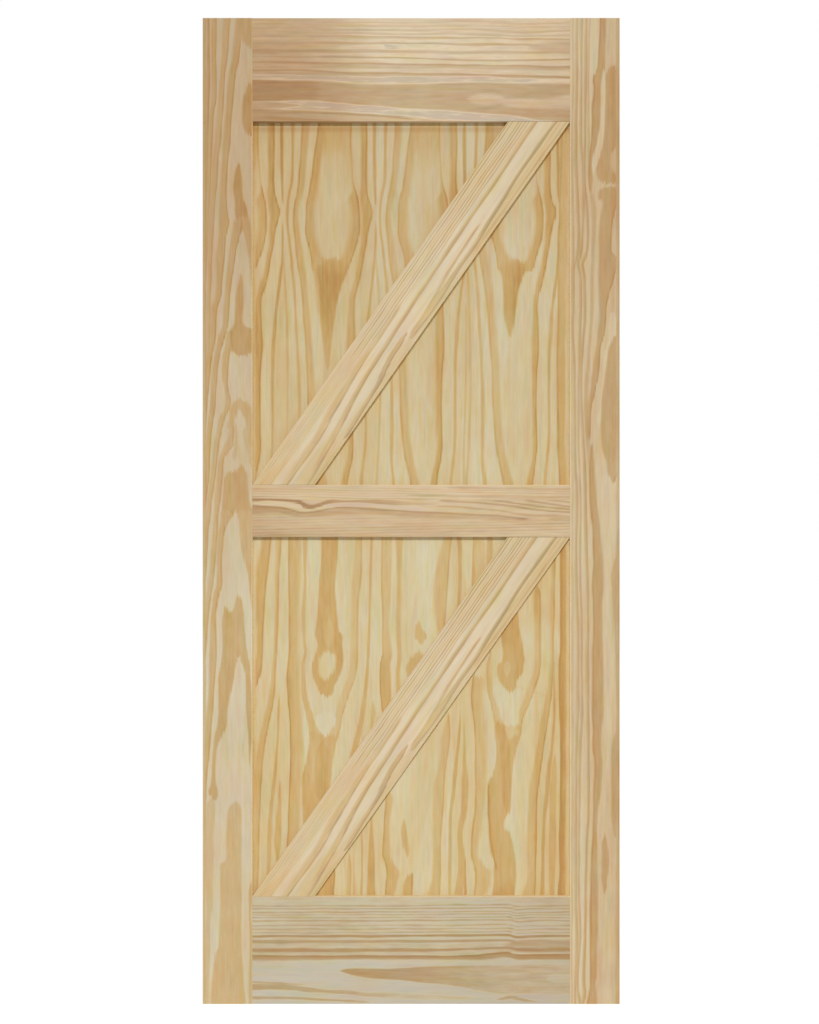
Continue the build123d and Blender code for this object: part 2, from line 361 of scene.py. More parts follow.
# The bottom rail's thin rings, as (height, width, tone), and the kink near its right end where they drop
# together, as (place along the grain, how far up)
KINK = [(100, 0), (440, 1), (560, 2), (612, 2.5), (634, -1.5), (660, 0), (740, 0.5)]
THIN_RINGS = [
    (212, 2, 0.26), (207, 2, 0.24), (197, 2.5, 0.45), (191, 2.5, 0.48), (184, 2.5, 0.48), (179, 2, 0.45),
    (173, 2, 0.45), (167, 2.5, 0.5), (157, 2, 0.46), (150, 2, 0.45), (143, 2, 0.45), (136, 4, 0.78),
    (125, 5, 0.6),
]
BOTTOM_RAIL_FIGURE = [
    (tone, 1, 1, [(along, height + shift - width / 2, height + shift + width / 2) for along, shift in KINK])
    for height, width, tone in THIN_RINGS
] + [
    (0.0, 8, 8, [(100, -30, 82), (740, -30, 82)]),
    (0.3, 3, 3, [(100, 113, 121), (600, 115, 122), (640, 118, 118)]),
    (0.32, 2, 2, [(100, 99, 104), (540, 101, 108), (612, 106, 110), (640, 104, 104)]),
    (0.45, 6, 6, [(600, 116, 116), (640, 105, 128), (740, 104, 128)]),
    (0.75, 2, 2, [
        (100, 105, 111), (420, 105, 111), (540, 109, 113), (612, 111, 115), (636, 107, 112),
        (740, 107, 112),
    ]),
    (0.85, 5, 2, [
        (100, 92, 97), (420, 93, 97), (540, 92, 98), (580, 94, 101), (612, 97, 104), (638, 92, 99),
        (665, 93, 100), (740, 92, 100),
    ]),
    # A spear of latewood, and streaks along the lower edge
    ([(280, 0.74), (390, 0.66), (470, 0.52), (600, 0.35)], 3, 3, [
        (276, 67, 67), (290, 62, 70), (300, 59, 71), (340, 53, 71), (400, 48, 71), (440, 43, 74),
        (480, 40, 76), (540, 30, 78), (600, 22, 78), (740, 20, 80),
    ]),
    (0.1, 6, 6, [(690, 51, 51), (710, 44, 59), (740, 44, 59)]),
    ([(100, 0.6), (200, 0.55), (320, 0.45), (420, 0.3)], 4, 4, [
        (100, 27, 40), (140, 29, 40), (180, 28, 38), (200, 25, 35), (240, 24, 30), (280, 20, 28),
        (320, 16, 24), (420, 10, 20), (560, 12, 12),
    ]),
    (0.5, 2, 2, [(100, 43, 47), (180, 39, 42), (220, 38, 38)]),
    (0.5, 3, 3, [(100, 10, 15), (200, 9, 14), (260, 6, 10), (320, 3, 6), (350, 3, 3)]),
    (0.5, 3, 3, [(590, 9, 9), (600, 8, 12), (620, 10, 16), (640, 6, 12), (660, 3, 7), (680, 3, 3)]),
]

# The upper panel's veneer was peeled off a log, so the same figure comes round again and again. The slip,
# as (place across, how much nearer it has come round), is where it does so a little sooner.
UPPER_VENEER_REPEAT = 187
UPPER_VENEER_SLIP = [(420, 0), (475, 8), (506, 6), (562, 4), (588, 0), (662, 0), (674, 4), (738, 4)]
UPPER_VENEER_FIGURE = [
    # Between two eyes: a wedge and thin rings that close in on it
    ([(1300, 0.82), (1420, 0.74), (1560, 0.84), (1773, 0.8)], 6, 2.5, [
        (1773, 132, 143), (1700, 134, 143), (1660, 134, 142), (1640, 133, 143), (1620, 133, 147),
        (1600, 136, 153), (1585, 138, 153), (1570, 137, 149), (1550, 136, 144), (1530, 136, 142),
        (1510, 132, 138), (1480, 127, 133), (1440, 116, 124), (1420, 110, 118), (1360, 106, 118),
        (1320, 105, 119), (1250, 106, 115), (1150, 107, 115), (1130, 109, 116), (1100, 107, 114),
        (1060, 97, 106), (1043, 94, 104),
    ]),
    (0.82, 2.5, 2.5, [(1773, 155, 161), (1660, 156, 161), (1620, 158, 161), (1605, 160, 160)]),
    ([(1400, 0.66), (1520, 0.78)], 2, 2, [
        (1580, 160, 160), (1540, 158, 162), (1500, 157, 161), (1480, 155, 160), (1440, 150, 155),
        (1400, 145, 149), (1360, 141, 147), (1280, 137, 142), (1150, 138, 142), (1050, 129, 134),
    ]),
    ([(1400, 0.64), (1520, 0.76), (1773, 0.8)], 2.5, 2.5, [
        (1773, 178, 184), (1700, 178, 182), (1660, 176, 181), (1620, 170, 174), (1600, 168, 172),
        (1580, 168, 171), (1520, 173, 177), (1480, 177, 181), (1440, 181, 185), (1350, 186, 190),
        (1200, 191, 196), (1100, 190, 195), (1050, 194, 199),
    ]),
    ([(1043, 0.72), (1200, 0.64), (1440, 0.68), (1560, 0.75), (1773, 0.76)], 2.5, 6, [
        (1773, 199, 210), (1740, 198, 208), (1700, 195, 205), (1640, 190, 198), (1600, 182, 188),
        (1580, 181, 187), (1540, 184, 193), (1500, 188, 198), (1440, 197, 206), (1360, 203, 213),
        (1280, 208, 219), (1140, 214, 226), (1100, 220, 233), (1043, 231, 247),
    ]),
    (0.52, 1, 1, [
        (1530, 160, 160), (1480, 162, 165), (1400, 165, 169), (1300, 168, 172), (1150, 166, 170),
        (1043, 160, 164),
    ]),
    (0.25, 1, 1, [(1420, 154, 154), (1350, 152, 156), (1200, 150, 154), (1043, 144, 148)]),
    # Rims of an eye, which close below it
    (0.78, 2.5, 14, [
        (1773, 232, 250), (1720, 225, 244), (1680, 220, 232), (1640, 214, 224), (1600, 207, 216),
        (1560, 206, 217), (1520, 213, 226), (1500, 218, 238), (1490, 219, 252), (1480, 220, 258),
        (1470, 240, 240),
    ]),
    (0.78, 14, 2.5, [
        (1773, 286, 298), (1700, 290, 299), (1660, 293, 302), (1620, 301, 311), (1580, 306, 315),
        (1560, 305, 315), (1520, 295, 307), (1500, 286, 300), (1480, 260, 292), (1470, 270, 270),
    ]),
    ([(1773, 0.5), (1730, 0.42), (1690, 0.22), (1640, 0.15)], 10, 10, [
        (1773, 244, 294), (1740, 244, 294), (1700, 240, 296), (1640, 235, 300), (1600, 265, 265),
    ]),
]
UPPER_PANEL_FIGURE = [
    # Tongues under two of the eyes
    (0.6, 8, 8, [(1500, 232, 232), (1485, 222, 244), (1440, 228, 242), (1400, 232, 242), (1350, 242, 242)]),
    ([(1500, 0.55), (1480, 0.78), (1440, 0.88), (1380, 0.8), (1300, 0.62)], 4, 4, [
        (1502, 262, 262), (1492, 242, 285), (1480, 231, 290), (1460, 232, 284), (1440, 234, 277),
        (1420, 235, 271), (1380, 238, 265), (1340, 241, 259), (1300, 245, 255), (1270, 250, 250),
    ]),
    ([(1498, 0.55), (1475, 0.82), (1435, 0.88), (1380, 0.78), (1340, 0.6)], 4, 4, [
        (1500, 620, 620), (1492, 604, 642), (1475, 600, 648), (1455, 603, 642), (1440, 604, 636),
        (1400, 606, 631), (1380, 608, 628), (1360, 613, 624), (1338, 619, 619),
    ]),
    ([(1043, 0.8), (1300, 0.76), (1500, 0.66), (1773, 0.66)], 3, 6, [
        (1773, 722, 731), (1500, 716, 728), (1300, 714, 726), (1150, 714, 725), (1043, 718, 732),
    ]),
    (0.5, 1, 1, [(1420, 530, 530), (1380, 528, 531), (1260, 528, 531), (1160, 525, 528), (1043, 524, 527)]),
    # Margins along the stiles: painted light, the bright golden glow beside the stiles' inner walls
    ([(1043, 0.5), (1640, 0.5), (1690, 0.75)], 1, 4, [(1773, 90, 104), (1650, 90, 102), (1043, 90, 102)]),
    (0.42, 5, 1, [(1773, 736, 750), (1043, 736, 750)]),
]
LOWER_PANEL_FIGURE = [
    # Darker earlywood towards the lower right
    (0.29, 60, 20, [(640, 620, 620), (580, 520, 760), (216, 470, 760)]),
    # Left of the first bulb
    (0.79, 10, 3, [
        (938, 124, 136), (900, 118, 133), (860, 110, 129), (820, 106, 125), (800, 105, 123),
        (760, 112, 121), (720, 113, 120), (680, 107, 118), (660, 104, 115), (640, 101, 107),
        (625, 100, 100),
    ]),
    (0.63, 4, 1.5, [
        (938, 150, 157), (840, 148, 152), (720, 145, 149), (680, 141, 146), (620, 136, 143),
        (580, 126, 136), (520, 114, 124), (440, 103, 117), (340, 102, 113), (216, 102, 110),
    ]),
    (0.62, 1.5, 1.5, [
        (620, 153, 153), (580, 150, 154), (540, 149, 152), (500, 145, 149), (460, 141, 147),
        (380, 132, 139), (340, 130, 138), (270, 128, 134), (230, 130, 130),
    ]),
    (0.62, 2, 2, [(450, 155, 155), (400, 150, 156), (320, 144, 156), (280, 147, 150), (265, 148, 148)]),
    (0.73, 1.5, 9, [
        (938, 172, 192), (860, 171, 190), (800, 172, 187), (720, 173, 187), (660, 168, 189),
        (620, 170, 190), (560, 175, 195), (500, 176, 195), (420, 172, 191), (340, 170, 188),
        (300, 170, 180), (270, 175, 175),
    ]),
    (0.63, 1.5, 1.5, [
        (938, 200, 209), (860, 203, 208), (800, 200, 206), (740, 200, 205), (705, 204, 208),
        (680, 198, 204), (640, 197, 206), (620, 198, 209), (580, 208, 220), (550, 213, 230),
        (540, 214, 238), (530, 230, 230),
    ]),
    # First bulb on its streak, with paler wood inside it
    (0.82, 2, 2, [
        (938, 238, 272), (900, 238, 270), (840, 234, 265), (800, 232, 268), (760, 228, 271),
        (750, 226, 272), (740, 226, 280), (720, 231, 280), (700, 226, 281), (680, 220, 280),
        (670, 220, 279), (660, 221, 276), (640, 228, 264), (622, 238, 260), (614, 250, 250),
    ]),
    (0.68, 4, 4, [(775, 254, 254), (750, 246, 262), (735, 246, 262), (712, 254, 254)]),
    (0.42, 4, 6, [
        (710, 250, 250), (700, 238, 262), (690, 232, 264), (670, 231, 262), (660, 232, 255),
        (648, 242, 242),
    ]),
    # Right of it, down to a tongue
    (0.63, 6, 1.5, [
        (938, 310, 320), (900, 309, 319), (860, 305, 318), (800, 301, 312), (700, 301, 311),
        (660, 296, 307), (640, 289, 301), (620, 281, 294), (580, 269, 281), (550, 260, 275),
        (540, 256, 273), (530, 264, 264),
    ]),
    (0.73, 2, 2, [
        (548, 214, 214), (540, 214, 232), (534, 214, 272), (520, 214, 267), (480, 206, 260),
        (460, 200, 258), (420, 200, 252), (380, 201, 246), (330, 203, 230), (300, 212, 212),
    ]),
    (0.1, 3, 3, [(590, 245, 245), (570, 226, 266), (550, 234, 258), (534, 247, 247)]),
    (0.89, 5, 5, [(530, 240, 240), (500, 228, 252), (430, 226, 250), (400, 240, 240)]),
    (0.69, 1.5, 1.5, [
        (938, 337, 342), (860, 335, 339), (720, 331, 336), (640, 325, 331), (600, 319, 328),
        (560, 312, 322), (500, 298, 308), (470, 300, 300),
    ]),
    (0.53, 2, 2, [(610, 341, 341), (580, 337, 346), (550, 337, 337)]),
    ([(660, 0.85), (690, 0.8), (720, 0.65)], 1.5, 4, [
        (938, 360, 378), (860, 359, 376), (800, 360, 374), (760, 361, 372), (700, 361, 378),
        (680, 356, 374), (640, 356, 375), (590, 360, 374), (560, 366, 366),
    ]),
    (0.63, 3, 3, [
        (938, 388, 402), (900, 390, 400), (820, 390, 398), (760, 388, 397), (700, 392, 399),
        (660, 388, 396), (600, 390, 396), (570, 392, 392),
    ]),
    (0.63, 2, 2, [(770, 434, 434), (755, 428, 439), (740, 427, 450), (730, 431, 446), (720, 440, 440)]),
    (0.63, 2, 2, [
        (712, 436, 436), (700, 427, 442), (690, 416, 442), (680, 410, 436), (660, 410, 422),
        (650, 414, 414),
    ]),
    # Above the brace, at the top right
    (0.68, 8, 2, [
        (938, 490, 500), (900, 480, 497), (860, 471, 494), (780, 470, 489), (750, 476, 486),
        (720, 480, 480),
    ]),
    (0.69, 2, 2, [(938, 512, 521), (860, 514, 520), (780, 512, 518), (760, 515, 515)]),
    (0.63, 2, 5, [(938, 544, 562), (880, 543, 564), (820, 543, 552), (790, 547, 547)]),
    (0.63, 2, 2, [(938, 572, 584), (870, 573, 580), (840, 576, 576)]),
    # Under the brace, on the left
    (0.68, 1.5, 5, [
        (430, 372, 372), (410, 368, 380), (360, 364, 372), (300, 361, 374), (280, 366, 380),
        (260, 370, 392), (240, 368, 387), (216, 366, 380),
    ]),
    (0.58, 3, 3, [(372, 404, 404), (340, 400, 410), (320, 402, 413), (290, 414, 414)]),
    (0.73, 4, 2, [(262, 422, 422), (240, 406, 422), (216, 404, 421)]),
    (0.68, 2, 2, [(380, 339, 339), (340, 335, 342), (216, 330, 347)]),
    (0.62, 1, 1, [(350, 319, 319), (300, 318, 322), (216, 317, 321)]),
    (0.44, 1, 1, [(330, 303, 303), (216, 302, 306)]),
    (0.53, 3, 1, [(300, 295, 295), (270, 292, 298), (216, 290, 297)]),
    (0.79, 5, 1, [(272, 265, 265), (250, 250, 266), (230, 240, 264), (216, 232, 263)]),
    # Between the brace's edge and the second bulb
    (0.68, 6, 2, [
        (580, 496, 496), (520, 482, 496), (480, 478, 490), (440, 470, 486), (400, 467, 484),
        (340, 468, 480), (260, 467, 478), (216, 455, 476),
    ]),
    (0.62, 1, 1, [(590, 519, 519), (520, 512, 517), (440, 502, 509), (340, 494, 500), (216, 494, 500)]),
    (0.58, 2, 2, [
        (580, 525, 525), (480, 523, 530), (440, 521, 534), (380, 519, 530), (340, 512, 522),
        (280, 515, 527), (216, 506, 522),
    ]),
    (0.75, 1, 1, [(300, 527, 527), (260, 526, 530), (216, 526, 532)]),
    (0.68, 1.5, 8, [
        (660, 545, 545), (650, 542, 562), (620, 540, 560), (560, 546, 564), (500, 548, 566),
        (420, 549, 564), (380, 547, 560), (340, 541, 554), (300, 540, 548), (280, 544, 558),
        (260, 549, 574), (240, 549, 574), (216, 546, 562),
    ]),
    (0.63, 1.5, 3, [
        (710, 580, 580), (680, 572, 580), (640, 572, 581), (620, 574, 584), (600, 580, 590),
        (580, 585, 600), (560, 588, 612), (550, 590, 620), (540, 600, 600),
    ]),
    # Second bulb on its streak
    (0.79, 2, 2, [
        (790, 635, 635), (770, 620, 637), (760, 613, 637), (740, 602, 640), (700, 604, 646),
        (690, 602, 648), (680, 594, 646), (670, 592, 645), (660, 593, 642), (650, 597, 632),
        (632, 608, 628), (624, 618, 618),
    ]),
    (0.58, 4, 4, [(690, 612, 612), (675, 605, 619), (655, 612, 612)]),
    (0.63, 5, 1.5, [
        (840, 674, 674), (820, 668, 680), (760, 671, 680), (700, 672, 680), (660, 667, 677),
        (640, 659, 671), (600, 645, 656), (580, 637, 648), (550, 630, 642), (535, 636, 636),
    ]),
    # Long tongue under it
    (0.73, 2, 2, [
        (562, 590, 590), (556, 588, 640), (540, 589, 638), (520, 590, 634), (480, 590, 625),
        (460, 583, 622), (440, 574, 621), (385, 573, 619), (380, 573, 612), (352, 575, 606),
        (340, 575, 618), (300, 580, 627), (280, 587, 629), (250, 586, 631), (216, 582, 627),
    ]),
    (0.15, 3, 3, [(610, 612, 612), (585, 597, 634), (570, 602, 634), (560, 608, 632), (548, 620, 620)]),
    (0.47, 6, 6, [(560, 620, 620), (545, 606, 634), (530, 618, 618)]),
    (0.89, 4, 4, [
        (570, 592, 592), (540, 593, 612), (500, 600, 618), (460, 602, 620), (420, 604, 620),
        (375, 612, 612),
    ]),
    (0.89, 1.5, 6, [
        (442, 575, 575), (400, 574, 587), (360, 576, 594), (320, 580, 598), (280, 588, 600),
        (265, 590, 590),
    ]),
    ([(216, 0.85), (262, 0.7)], 3, 3, [(270, 610, 610), (250, 587, 630), (216, 583, 626)]),
    # Rings and the brown strip along the right edge
    (0.63, 5, 1.5, [
        (860, 705, 710), (800, 702, 708), (700, 702, 706), (640, 698, 704), (600, 691, 700),
        (560, 682, 694), (480, 670, 682), (440, 661, 677), (400, 659, 673), (340, 656, 672),
        (260, 658, 670), (216, 646, 668),
    ]),
    (0.62, 1.5, 1.5, [
        (740, 707, 707), (580, 706, 710), (540, 703, 707), (460, 692, 700), (420, 688, 697),
        (380, 685, 691), (300, 682, 688), (216, 680, 688),
    ]),
    (0.53, 2, 2, [(500, 708, 708), (480, 704, 711), (380, 698, 711), (300, 697, 710), (216, 698, 708)]),
    (0.58, 2, 2, [(938, 724, 750), (216, 724, 750)]),
    (0.97, 2, 5, [
        (938, 720, 738), (880, 720, 732), (720, 720, 732), (680, 717, 728), (620, 717, 728),
        (560, 720, 736), (480, 720, 738), (400, 719, 732), (300, 718, 727), (260, 719, 730),
        (216, 716, 728),
    ]),
    # Margins along the stiles: painted light, the bright golden glow beside the stiles' inner walls
    ([(216, 0.62), (470, 0.62), (540, 0.35)], 1, 5, [(938, 90, 103), (216, 90, 103)]),
    (0.45, 5, 1, [(938, 735, 750), (216, 735, 750)]),
]

# The two braces show the same figure. It is measured along the brace from the opening's lower left corner,
# and across it from its upper left edge.
BRACE_FIGURE = [
    ([(300, 0.38), (460, 0.3)], 5, 5, [
        (-60, -20, 32), (200, -20, 32), (330, -20, 28), (460, -20, 33), (1000, -20, 35),
    ]),
    ([(100, 0.5), (400, 0.54), (560, 0.58), (1000, 0.58)], 7, 4, [
        (60, 106, 106), (120, 90, 112), (480, 91, 112), (800, 87, 112), (1000, 87, 112),
    ]),
    (0.77, 10, 2, [
        (-40, 50, 58), (60, 50, 58), (140, 51, 59), (180, 47, 57), (200, 44, 53), (240, 41, 50),
        (280, 38, 46), (320, 37, 43), (360, 37, 41), (440, 36, 39), (470, 37, 37),
    ]),
    (0.25, 1, 1, [(20, 37, 37), (60, 36, 38), (160, 36, 38), (200, 36, 36)]),
    (0.25, 5, 5, [(40, 88, 88), (80, 80, 95), (120, 78, 92), (160, 74, 86), (200, 74, 82), (230, 74, 74)]),
    ([(60, 0.4), (160, 0.62), (280, 0.8)], 4, 3, [
        (40, 90, 90), (80, 84, 91), (120, 80, 88), (160, 76, 85), (200, 71, 79), (240, 66, 73),
        (280, 62, 68), (360, 58, 63), (440, 55, 59), (520, 53, 57), (600, 50, 54), (720, 48, 52),
        (760, 48, 53), (840, 46, 50), (1000, 43, 47),
    ]),
    (0.81, 3, 2, [
        (180, 98, 98), (200, 94, 100), (280, 90, 95), (320, 86, 92), (360, 77, 86), (400, 75, 84),
        (430, 78, 78),
    ]),
    (0.72, 2, 2, [
        (420, 90, 90), (435, 84, 95), (480, 84, 89), (520, 80, 85), (560, 75, 80), (600, 73, 77),
        (660, 71, 75), (700, 72, 72),
    ]),
    (0.81, 3, 2, [
        (430, 93, 93), (480, 89, 97), (520, 86, 96), (600, 86, 92), (640, 87, 92), (720, 82, 87),
        (800, 78, 82), (840, 77, 81), (1000, 78, 82),
    ]),
    (0.63, 1, 1, [(620, 95, 95), (660, 94, 97), (800, 94, 97), (1000, 96, 98)]),
]

# Fine rings, drawn as (spacing, slope, tone, [(place along, near edge, far edge), ...]) where they crowd
# too closely to be drawn one by one. The slope is how far they climb across the grain per length.
BRACE_FINE_RINGS = [
    (4.6, -0.02, 0.68, [(-60, 4, 34), (280, 4, 30), (400, 10, 10)]),
    (5.4, -0.012, 1.0, [(300, 20, 20), (440, 2, 38), (1000, -2, 40)]),
]
MID_RAIL_FINE_RINGS = [
    (5.2, -0.018, 0.7, [(100, 1017, 1037), (330, 1014, 1036), (740, 1012, 1034)]),
    (6.0, 0.02, 0.55, [(100, 940, 982), (740, 940, 972)]),
]

# Broad shades over a figure, as (near edge, far edge, fade, [(place along the grain, change of tone), ...])
LEFT_STILE_SHADES = [(84, 110, 4, [(100, 0), (200, 0.1), (500, 0.13), (620, 0.08), (700, 0)])]
RIGHT_STILE_SHADES = [
    (735, 795, 8, [(1840, 0), (1900, -0.15), (1981, -0.25)]),
    (735, 764, 4, [
        (500, -0.05), (800, -0.08), (1000, -0.12), (1130, -0.18), (1230, -0.16), (1300, 0), (1600, 0.08),
        (1750, 0.05), (1840, 0),
    ]),
    (822, 850, 5, [
        (0, 0.12), (150, 0.06), (340, 0.1), (420, 0.28), (530, 0.2), (600, 0.1), (700, 0.06), (800, 0.16),
        (900, 0.16), (970, -0.08), (1040, -0.08), (1100, 0), (1220, 0.1), (1300, 0), (1500, 0),
        (1620, 0.18), (1840, 0.16), (1900, 0), (1981, -0.1),
    ]),
]
TOP_RAIL_SHADES = [(1845, 1910, 8, [(620, 0), (680, 0.08), (740, 0.14)])]
MID_RAIL_SHADES = [
    (1014, 1050, 6, [(100, 0.02), (200, -0.15), (330, -0.16), (440, -0.1), (740, -0.05)]),
    (930, 1014, 5, [(100, 0.2), (160, 0.14), (230, 0.04), (300, 0)]),
    (930, 978, 10, [(560, 0), (620, 0.08), (740, 0.15)]),
]
UPPER_PANEL_SHADES = [
    (95, 165, 25, [
        (1180, 0), (1260, 0.1), (1400, 0.18), (1470, 0.1), (1540, 0), (1640, 0.05), (1773, 0.15),
    ]),
    (225, 300, 20, [(1600, 0), (1700, 0.11), (1773, 0.11)]),
    (345, 425, 30, [(1300, 0), (1420, -0.1), (1500, -0.2), (1620, -0.2), (1773, -0.14)]),
    (505, 570, 15, [(1660, 0), (1720, -0.13), (1773, -0.13)]),
    (545, 620, 25, [(1100, -0.04), (1250, -0.08), (1400, -0.15), (1500, -0.17), (1560, 0)]),
]
LOWER_PANEL_SHADES = [
    (95, 178, 20, [(300, 0.05), (380, 0.1), (460, 0.2), (600, 0.2), (700, 0.07), (800, 0.08), (938, 0.02)]),
    (215, 265, 12, [(350, 0), (420, -0.11), (500, -0.16), (560, -0.05), (720, -0.1), (938, -0.05)]),
    (250, 425, 15, [(216, 0.15), (330, 0.13), (430, 0)]),
    (505, 545, 12, [(216, 0.1), (560, 0.18), (600, 0.18), (680, 0.08), (938, 0.1)]),
    (585, 625, 12, [(300, -0.05), (400, -0.11), (680, -0.1), (760, 0.06), (938, 0.06)]),
    (640, 680, 12, [(216, 0.1), (560, 0.1), (620, 0), (720, 0), (800, 0.15), (938, 0.07)]),
    (670, 722, 12, [(216, 0.2), (600, 0.2), (680, 0.1), (720, 0), (800, 0.13), (938, 0.18)]),
]
BRACE_SHADES = [
    (-20, 40, 8, [(-60, 0.2), (40, 0.15), (100, 0.08), (180, 0), (640, 0.02), (720, 0.14), (900, 0.1)]),
    (30, 50, 5, [(340, 0), (400, -0.12), (560, -0.1), (620, 0)]),
    (64, 120, 6, [
        (40, 0.28), (100, 0.28), (160, 0.14), (240, 0.03), (340, 0.12), (480, -0.03), (560, -0.03),
        (640, 0.05), (720, 0.14), (900, 0.14),
    ]),
]


# Nodes
def linear(hex_colour):
    """An sRGB hex value as linear red, green, blue and alpha."""
    parts = np.array([int(hex_colour[place:place + 2], 16) for place in (1, 3, 5)]) / 255
    parts = np.where(parts <= 0.04045, parts / 12.92, ((parts + 0.055) / 1.055) ** 2.4)
    return (*parts.tolist(), 1.0)


def add(tree, kind, *inputs, **settings):
    """Adds a node with its settings, then sets or links the sockets that those leave in use, in order.
    None leaves a socket as it is. Gives back the node's first output in use."""
    node = tree.nodes.new(f"ShaderNode{kind}")
    for name, value in settings.items():
        setattr(node, name, value)
    for socket, value in zip([socket for socket in node.inputs if socket.enabled], inputs):
        if isinstance(value, bpy.types.NodeSocket):
            tree.links.new(value, socket)
        elif value is not None:
            socket.default_value = value
    return next((socket for socket in node.outputs if socket.enabled), None)


def bare_material(name):
    """A material with an empty node tree."""
    material = bpy.data.materials.new(name)
    material.use_nodes = True
    material.node_tree.nodes.clear()
    return material


def drawn_line(tree, along, points, unit=1.0):
    """A drawn line: its height over each place along, on a smooth curve through points. Places are in
    millimetres and heights in the unit."""
    line = add(tree, "FloatCurve", None, along)
    mapping = line.node.mapping
    mapping.use_clip = False
    mapping.extend = "HORIZONTAL"
    points = sorted((place * MM, height * unit) for place, height in points)
    mapping.clip_max_x = points[-1][0]
    mapping.clip_min_x = points[0][0]
    curve = mapping.curves[0]
    for point in points[2:]:
        curve.points.new(*point)
    for knot, point in zip(curve.points, points):
        knot.location = point
        knot.handle_type = "AUTO_CLAMPED"
    mapping.update()
    return line


# Drawing of bands
FADE_OUT = 0.65  # share of an edge's fade that lies outside it
BLUR = 1.4  # mm, by which every edge is softer than it is drawn
TIP = 1.6  # mm, the width under which a band thins out to nothing
RIM = 4.0  # mm, the dark wood along a band's hard edge
RIM_TONE = 0.32  # how much darker it is than the rest of the band
RIM_PALER = 0.12  # how much paler the rest is than the tone that is drawn
FINE_RING = (0.2, 0.5)  # shares of a spacing from its start, where a fine ring begins and is at its darkest
FINE_RING_SHARE = (0.35, 1)  # of its tone, from the faintest ring to the strongest


def band_cover(tree, along, across, stations, near_fade, far_fade, repeat=None):
    """How far a place lies in a band, and how near to its hard edge, both from 0 to 1. The cover is the
    product of two smooth steps, one over each edge, and of the share of the tip's width that the band has.
    The softer step lies wholly outside its edge. A repeat brings the band back every so far across."""
    half = drawn_line(tree, along, [(place, (far - near) / 2) for place, near, far in stations], MM)
    middle = drawn_line(tree, along, [(place, (near + far) / 2) for place, near, far in stations], MM)
    offset = add(tree, "Math", across, middle, operation="SUBTRACT")
    if repeat:
        offset = add(tree, "Math", offset, repeat / 2 * MM, -repeat / 2 * MM, operation="WRAP")
    past_near = add(tree, "Math", half, offset, operation="ADD")
    past_far = add(tree, "Math", half, offset, operation="SUBTRACT")
    cover = add(tree, "MapRange", half, 0, TIP / 2 * MM)
    for past, fade, other_fade in ((past_near, near_fade, far_fade), (past_far, far_fade, near_fade)):
        outside = 1 if fade > other_fade else FADE_OUT
        blurred = (fade + BLUR) * MM
        step = add(tree, "MapRange", past, -outside * blurred, (1 - outside) * blurred,
                   interpolation_type="SMOOTHSTEP")
        cover = add(tree, "Math", cover, step, operation="MULTIPLY")
    rim = add(tree, "MapRange", past_near if near_fade < far_fade else past_far, RIM * MM, 0)
    return cover, rim


def lay_bands(tree, tone, along, across, figure, repeat=None):
    """Lays a figure's bands over the tone, each one over those before it. A band with one hard edge grows
    darker towards it, as a growth ring does towards its last wood."""
    for strength, near_fade, far_fade, stations in figure:
        cover, rim = band_cover(tree, along, across, stations, near_fade, far_fade, repeat)
        if isinstance(strength, list):
            strength = drawn_line(tree, along, strength)
        if near_fade != far_fade:
            strength = add(tree, "Math", strength, RIM_PALER, operation="SUBTRACT")
            strength = add(tree, "Math", rim, RIM_TONE, strength, operation="MULTIPLY_ADD")
        tone = add(tree, "Mix", cover, tone, strength, data_type="FLOAT")
    return tone


def lay_fine_rings(tree, tone, along, across, rings):
    """Lays evenly spaced thin rings over the tone: a smooth pulse once a spacing, each with a strength
    of its own, faded in and out at the edges of their zone."""
    for spacing, slope, strength, stations in rings:
        climbed = add(tree, "Math", along, -slope, across, operation="MULTIPLY_ADD")
        turns = add(tree, "Math", climbed, spacing * MM, operation="DIVIDE")
        number = add(tree, "Math", turns, operation="FLOOR")
        chance = add(tree, "TexWhiteNoise", number, noise_dimensions="1D")
        pulse = add(tree, "Math", turns, 0.5, operation="PINGPONG")
        ring = add(tree, "MapRange", pulse, *FINE_RING, interpolation_type="SMOOTHSTEP")
        share = add(tree, "MapRange", chance, 0, 1, *FINE_RING_SHARE)
        cover, _ = band_cover(tree, along, across, stations, spacing, spacing)
        for part in (ring, share):
            cover = add(tree, "Math", cover, part, operation="MULTIPLY")
        tone = add(tree, "Mix", cover, tone, strength, data_type="FLOAT")
    return tone


def lay_shades(tree, tone, along, across, shades):
    """Shifts the tone in broad strips along the grain."""
    for near, far, fade, shifts in shades:
        cover, _ = band_cover(tree, along, across, [(place, near, far) for place, _ in shifts], fade, fade)
        tone = add(tree, "Math", cover, drawn_line(tree, along, shifts), tone, operation="MULTIPLY_ADD")
    return tone


# Pine
# Patterns have a size in millimetres across, through and along the grain. The fibres are drawn about four
# times too coarse, so that they show.
STRAY = 2.4  # mm, how far a band's edge strays across the grain
STRAY_SIZE = (10, 10, 90)
FEATHER = 16.0  # mm, how far its tips fray along the grain
FEATHER_SIZE = (1.6, 1.6, 40)
FIBRE_SIZE = (3, 3, 110)
FIBRE_TONE = 0.045
FIBRE_RELIEF = 0.15  # mm
FIBRE_RELIEF_SHARE = 0.25  # of that relief, left by sanding
MOTTLE_SIZE = (9, 9, 42)
MOTTLE_TONE = 0.08
BLUSH_SIZE = (70, 70, 420)
BLUSH_TONE = 0.12
BLUSH_SHARE = 0.35
ROSE_SIZE = (13, 13, 120)
HONEY_SIZE = (9, 9, 90)
NOISE_MOST = (0.3, 0.7)  # what most of a noise lies between
NOISE_ALL = (0.25, 0.75)  # what nearly all of it lies between
NOISE_MIDDLE = 0.5
BLUSH_NOISE = (0.42, 0.72)  # from where the blush begins to where it is full
TINT_NOISE = (0.72, 0.28)  # where the first and the second hue of a pair are full
